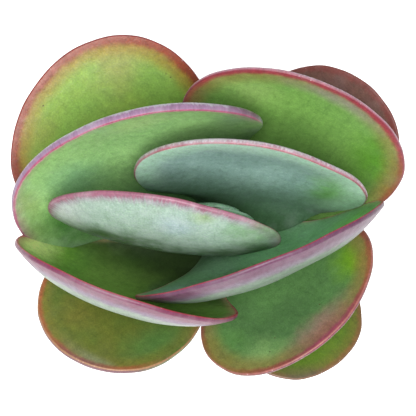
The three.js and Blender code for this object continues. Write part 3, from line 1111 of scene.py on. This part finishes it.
def rounded(corners: Sequence[tuple[float, float, float]], steps: int = 5) -> list[tuple[float, float]]:
    """A turned outline with its corners rounded.

    Args:
        corners: Radius and height of each corner, and how far back its rounding starts.
        steps: Points on each rounding.

    Returns:
        Radius and height of each point.
    """
    outline = []
    last = len(corners) - 1
    for number, (radius, height, back) in enumerate(corners):
        corner = np.array((radius, height))
        if back == 0 or number in (0, last):
            outline.append(tuple(corner))
            continue
        before = np.array(corners[number - 1][:2]) - corner
        after = np.array(corners[number + 1][:2]) - corner
        start = corner + before / np.linalg.norm(before) * back
        end = corner + after / np.linalg.norm(after) * back
        for share in np.linspace(0, 1, steps):
            point = mixed(mixed(start, corner, share), mixed(corner, end, share), share)
            outline.append(tuple(point))
    return outline


def filled_in(outline: Sequence[tuple[float, float]], spacing: float) -> Array:
    """An outline with points added so that none are further apart than a spacing."""
    points = [np.array(outline[0])]
    for start, end in zip(outline, outline[1:]):
        start, end = np.array(start), np.array(end)
        count = max(1, math.ceil(np.linalg.norm(end - start) / spacing))
        points += [mixed(start, end, step / count) for step in range(1, count + 1)]
    return np.array(points)


def turned(outline: Array, sides: int) -> Array:
    """Points of a solid of revolution.

    Args:
        outline: Radius and height of each point of the outline, going down the outside.
        sides: How many columns of points go round.

    Returns:
        The points, as columns by rows by three.
    """
    angle = 2 * math.pi * np.arange(sides)[:, None] / sides
    radius, height = outline[None, :, 0], outline[None, :, 1]
    across = radius * np.cos(angle)
    deep = radius * np.sin(angle)
    return np.stack((across, deep, np.broadcast_to(height, across.shape)), axis=-1)


def wobble(points: Array, size: float, seed: float) -> Array:
    """Soft noise from -1 to 1 at each point.

    Args:
        points: The points, as columns by rows by three.
        size: The size of the noise's clouds.
        seed: A number that sets this noise apart.

    Returns:
        The noise, as columns by rows.
    """
    shifted = points.reshape(-1, 3) / size + seed
    return np.array([noise.noise(Vector(point)) for point in shifted]).reshape(points.shape[:-1])


@dataclass(frozen=True)
class ClayPot:
    """A round unglazed clay pot with a collar and a drain hole."""

    height: float = 84.0
    rim_radius: float = 45.0
    foot_radius: float = 30.0
    wall: float = 4.5
    floor: float = 6.0
    collar_height: float = 20.0
    collar_overhang: float = 3.0
    drain_radius: float = 6.0
    sides: int = 160
    spacing: float = 2.5

    CLAY = lit((186, 108, 70))
    FIRED = lit((166, 88, 56))
    SALT = lit((222, 206, 188))
    DAMP = lit((128, 74, 50))
    # Heights between which the salt mark sets in and fades, and the damp foot ends
    SALT_FOOT = (26, 52)
    SALT_TOP = (52, 74)
    DAMP_TOP = (6, 22)
    # The wall is a little out of round, with fine turning rings
    OUT_OF_ROUND = 0.35
    OUT_OF_ROUND_SIZE = 30.0
    TURNING = 0.07
    TURNING_RATE = 1.9
    STEADY_FOOT = 4.0

    def bore_radius(self, height: float) -> float:
        """Radius of the inner wall at a height."""
        low = self.height - self.collar_height
        slope = (self.rim_radius - self.collar_overhang - self.foot_radius) / low
        return self.foot_radius - self.wall + slope * height

    def outline(self) -> Array:
        """The pot's section, from the drain hole up the inside and down the outside."""
        low = self.height - self.collar_height
        outer = self.rim_radius - self.collar_overhang
        corners = [
            (self.drain_radius, 0, 0),
            (self.drain_radius, self.floor, 0.8),
            (self.bore_radius(self.floor), self.floor, 2.0),
            (self.bore_radius(self.height), self.height, 1.5),
            (self.rim_radius, self.height, 1.8),
            (self.rim_radius, low, 1.2),
            (outer, low, 0.5),
            (self.foot_radius, 0, 1.2),
            (self.drain_radius, 0, 0),
        ]
        return filled_in(rounded(corners), self.spacing)

    def dress(self) -> bpy.types.Material:
        """Makes the clay."""
        paint = Paint("pot_clay")
        where = paint.stored("place")
        height = paint.parts(where)[2]
        cloud = paint.grain(where, 18, detail=4)
        mottle = paint.grain(where, 4, detail=5)
        sand = paint.grain(where, 0.6, detail=3)
        ring = paint.grain(paint.joined(0, 0, height), 2.2)
        grit = paint.cells(where, 1.6).fall(0.1, 0.25)
        colour = paint.blend(cloud.rise(0.35, 0.65), self.CLAY, self.FIRED)
        colour = paint.blend(mottle.rise(0.45, 0.7) * 0.16, colour, self.SALT)
        wander = cloud - 0.5
        tide = (height + wander * 34).rise(*self.SALT_FOOT) * (height + wander * 20).fall(*self.SALT_TOP)
        colour = paint.blend(tide * mottle.rise(0.4, 0.6) * 0.32, colour, self.SALT)
        colour = paint.blend((height + wander * 26).fall(*self.DAMP_TOP) * 0.7, colour, self.DAMP)
        colour = paint.blend(grit * 0.35, colour, self.DAMP)
        roughness = 0.86 + (mottle - 0.5) * 0.2
        relief = sand * 0.45 + mottle * 0.3 + ring * 0.4 - grit * 0.15
        return paint.finish(colour, roughness, relief, 0.35, Specular_IOR_Level=0.25)

    def make(self) -> bpy.types.Object:
        """Builds and dresses the pot."""
        points = turned(self.outline(), self.sides)
        raised = smooth_step(points[..., 2] / self.STEADY_FOOT)
        reach = np.hypot(points[..., 0], points[..., 1])
        swing = 1 + wobble(points, self.OUT_OF_ROUND_SIZE, 4.2) * self.OUT_OF_ROUND * raised / reach
        rings = 1 + self.TURNING * np.sin(points[..., 2] * self.TURNING_RATE) * raised / reach
        points[..., :2] *= (swing * rings)[..., None]
        faces = wrapped_faces(*points.shape[:2])
        flat = points.reshape(-1, 3)
        piece = make_piece("clay_pot", flat, faces, {"place": flat}, self.dress())
        install(piece, "pot")
        return piece


@dataclass(frozen=True)
class PottingSoil:
    """Crumbly soil with bark, grit and pale perlite on top."""

    low: float = 6.3
    high: float = 75.0
    pot: ClayPot = field(default_factory=ClayPot)
    gap: float = 0.3
    sides: int = 144
    rings: int = 30
    crumbs: int = 420
    crumb_sizes: tuple[float, float] = (0.7, 2.4)
    relief: float = 1.1
    wall_spacing: float = 8.0
    wall_clearance: float = 3.0
    seed: int = 11

    EARTH = lit((70, 52, 38))
    DARK = lit((42, 31, 24))
    BARK = lit((112, 76, 48))
    GRIT = lit((150, 132, 108))
    PERLITE = lit((226, 222, 212))

    def dress(self) -> bpy.types.Material:
        """Makes the soil's finish, in which a stored tone sets what each crumb is made of."""
        paint = Paint("crumbly_soil")
        where = paint.stored("place")
        tone = paint.parts(paint.stored("tone"))[0]
        clump = paint.grain(where, 3, detail=5)
        fine = paint.grain(where, 0.5, detail=4)
        colour = paint.blend(clump.rise(0.4, 0.62), self.EARTH, self.DARK)
        colour = paint.blend(tone.rise(0.2, 0.3), colour, self.BARK)
        colour = paint.blend(tone.rise(0.55, 0.6), colour, self.GRIT)
        colour = paint.blend(tone.rise(0.8, 0.85), colour, self.PERLITE)
        colour = paint.blend(fine.rise(0.5, 0.75) * 0.5, colour, self.DARK)
        relief = clump * 0.6 + fine * 0.4
        return paint.finish(colour, 0.9 + (fine - 0.5) * 0.15, relief, 0.5, Specular_IOR_Level=0.2)

    def surface(self) -> tuple[Array, list[tuple[int, ...]]]:
        """The body of the soil, with an uneven top.

        Returns:
            Its points and faces.
        """
        edge = self.pot.bore_radius(self.high) - self.gap
        top = [(edge * ring / self.rings, self.high) for ring in range(self.rings + 1)]
        bottom = [(self.pot.bore_radius(self.low) - self.gap, self.low), (0.0, self.low)]
        points = turned(filled_in(top + bottom, self.wall_spacing), self.sides)
        reach = np.hypot(points[..., 0], points[..., 1])
        loose = (points[..., 2] > self.high - 0.1) * (1 - smooth_step((reach - edge + 2) / 2))
        rough = wobble(points, 7, 1.3) + 0.6 * wobble(points, 2.6, 5.1) + 0.3 * wobble(points, 1.1, 8.4)
        points[..., 2] += loose * (rough - 0.5) * self.relief
        return points.reshape(-1, 3), wrapped_faces(*points.shape[:2])

    def crumb(self, draw: np.random.Generator, ball: Array) -> tuple[Array, float]:
        """One crumb, bent out of a ball.

        Args:
            draw: The source of random numbers.
            ball: Points on a ball of radius one.

        Returns:
            The crumb's points, and its tone.
        """
        size = draw.uniform(*self.crumb_sizes) / 2
        stretch = draw.uniform(0.6, 1.3, 3) * size
        lumps = 1 + draw.uniform(-0.22, 0.22, len(ball))
        turn = draw.uniform(0, 2 * math.pi)
        cos, sin = math.cos(turn), math.sin(turn)
        spin = np.array(((cos, -sin, 0), (sin, cos, 0), (0, 0, 1)))
        widest = self.pot.bore_radius(self.high) - self.wall_clearance
        reach = widest * math.sqrt(draw.uniform(0.05, 1))
        around = draw.uniform(0, 2 * math.pi)
        level = self.high - 0.3 + stretch[2] * 0.3
        place = np.array((reach * math.cos(around), reach * math.sin(around), level))
        return (ball * lumps[:, None] * stretch) @ spin.T + place, draw.uniform(0, 1)

    def make(self) -> bpy.types.Object:
        """Builds and dresses the soil."""
        points, faces = self.surface()
        ball = bmesh.new()
        bmesh.ops.create_icosphere(ball, subdivisions=2, radius=1)
        ball_points = np.array([corner.co for corner in ball.verts])
        ball_faces = [[corner.index for corner in face.verts] for face in ball.faces]
        ball.free()
        draw = np.random.default_rng(self.seed)
        places, tones = [points], [np.zeros(len(points))]
        for number in range(self.crumbs):
            crumb_points, tone = self.crumb(draw, ball_points)
            first = len(points) + number * len(ball_points)
            faces += [tuple(first + corner for corner in face) for face in ball_faces]
            places.append(crumb_points)
            tones.append(np.full(len(ball_points), tone))
        points = np.vstack(places)
        tones = np.concatenate(tones)[:, None] * np.ones((1, 3))
        piece = make_piece("potting_soil", points, faces, {"place": points, "tone": tones}, self.dress())
        install(piece, "soil")
        return piece


@dataclass(frozen=True)
class Stem:
    """The short thick stem, with a scar ring where each pair of leaves joins it."""

    nodes: tuple[float, ...] = (78.0, 86.0, 94.0, 102.0, 111.0, 120.0, 128.0)
    crown: float = 1.0
    sides: int = 96
    spacing: float = 0.8
    ring_height: float = 0.6
    ring_width: float = 0.9

    GREEN = lit((128, 146, 92))
    CORK = lit((132, 112, 84))
    SCAR = lit((92, 74, 56))

    def dress(self) -> bpy.types.Material:
        """Makes the stem's skin, corky below and green above."""
        paint = Paint("stem_skin")
        where = paint.stored("place")
        height = paint.parts(where)[2]
        cloud = paint.grain(where, 6, detail=4)
        fine = paint.grain(where, 0.9, detail=4)
        furrow = paint.grain(paint.vector("MULTIPLY", where, (1, 1, 0.25)).outputs[0], 1.6, detail=4)
        colour = paint.blend((height + (cloud - 0.5) * 30).fall(78, 104), self.GREEN, self.CORK)
        colour = paint.blend(furrow.rise(0.5, 0.7) * 0.45, colour, self.SCAR)
        for node in self.nodes:
            ring = abs(height + (cloud - 0.5) * 1.5 - node).fall(0.3, 1.1)
            colour = paint.blend(ring * 0.6, colour, self.SCAR)
        relief = furrow * 0.6 + fine * 0.4
        return paint.finish(colour, 0.7 + (fine - 0.5) * 0.2, relief, 0.4, Specular_IOR_Level=0.3)

    def make(self) -> bpy.types.Object:
        """Builds and dresses the stem."""
        foot, tip = STEM_PROFILE[0][0], STEM_PROFILE[-1][0]
        sides = [(radius, height) for height, radius in reversed(STEM_PROFILE)]
        outline = filled_in([(0.0, tip + self.crown), *sides, (0.0, foot)], self.spacing)
        rings = sum(np.exp(-((outline[:, 1] - node) / self.ring_width) ** 2) for node in self.nodes)
        points = turned(outline, self.sides)
        rough = 0.35 * wobble(points, 5, 2.2) + 0.15 * wobble(points, 1.8, 6.6)
        swing = 1 + (rings * self.ring_height + rough) / (np.hypot(outline[:, 0], 0.01) + 2)
        points[..., :2] *= swing[..., None]
        points[..., :2] += STEM_AXIS
        faces = wrapped_faces(*points.shape[:2])
        flat = points.reshape(-1, 3)
        piece = make_piece("fleshy_stem", flat, faces, {"place": flat}, self.dress())
        install(piece, "stem")
        return piece


@dataclass(frozen=True)
class Studio:
    """The pale glowing floor, the soft light and the camera."""

    floor_size: float = 30000.0
    floor_colour: Colour = (0.86, 0.855, 0.855, 1.0)
    floor_glow: float = 0.65
    target: tuple[float, float, float] = (0.0, -3.0, 170.0)
    elevation: float = 79.0
    distance: float = 700.0
    lens: float = 129.8
    sky_strength: float = 0.5
    softbox_height: float = 70.0
    softbox_side: float = 6.0
    softbox_distance: float = 1300.0
    softbox_size: float = 700.0
    softbox_power: float = 32.0
    sensor: float = 36.0

    WHITE = (1.0, 1.0, 1.0, 1.0)

    def lay_floor(self) -> None:
        """Makes the floor, a pale table that glows a little, so that shadows on it are faint."""
        half = self.floor_size / 2
        corners = [(-half, -half, 0), (half, -half, 0), (half, half, 0), (-half, half, 0)]
        paint = Paint("pale_floor")
        where = paint.node("ShaderNodeTexCoord").outputs["Object"]
        grain = paint.grain(where, 2 * MM)
        paint.finish(
            self.floor_colour, 0.8 + grain * 0.1, grain, 0.05,
            Emission_Color=self.WHITE, Emission_Strength=self.floor_glow,
        )
        floor = make_piece("floor", np.array(corners), [(0, 1, 2, 3)], {}, paint.material)

    def set_lights(self) -> None:
        """Makes the sky and the softbox."""
        world = bpy.data.worlds.new("soft_sky")
        bpy.context.scene.world = world
        world.use_nodes = True
        sky = world.node_tree.nodes["Background"]
        sky.inputs["Color"].default_value = self.WHITE
        sky.inputs["Strength"].default_value = self.sky_strength
        lamp = bpy.data.lights.new("softbox", "AREA")
        lamp.size = self.softbox_size * MM
        lamp.energy = self.softbox_power
        softbox = bpy.data.objects.new("softbox", lamp)
        lift, side = math.radians(self.softbox_height), math.radians(self.softbox_side)
        away = Vector((-math.sin(side) * math.cos(lift), -math.cos(side) * math.cos(lift), math.sin(lift)))
        softbox.location = (Vector(self.target) + away * self.softbox_distance) * MM
        softbox.rotation_euler = (-away).to_track_quat("-Z", "Y").to_euler()
        bpy.context.scene.collection.objects.link(softbox)

    def set_camera(self) -> None:
        """Makes the camera, which looks down on the plant."""
        lift = math.radians(self.elevation)
        back = Vector((0, -math.cos(lift), math.sin(lift)))
        lens = bpy.data.cameras.new("camera")
        lens.lens = self.lens
        lens.sensor_width = self.sensor
        camera = bpy.data.objects.new("camera", lens)
        camera.location = (Vector(self.target) + back * self.distance) * MM
        camera.rotation_euler = (QUARTER_TURN - lift, 0, 0)
        bpy.context.scene.collection.objects.link(camera)
        bpy.context.scene.camera = camera
        bpy.context.scene.view_settings.view_transform = "Standard"

    def make(self) -> None:
        """Sets up the whole studio."""
        self.lay_floor()
        self.set_lights()
        self.set_camera()


def main() -> None:
    """Builds the plant and the studio."""
    logging.basicConfig(level=logging.INFO, format="%(name)s %(message)s")
    Studio().make()
    ClayPot().make()
    PottingSoil().make()
    Stem().make()
    Foliage().make()


if __name__ == "__main__":
    main()
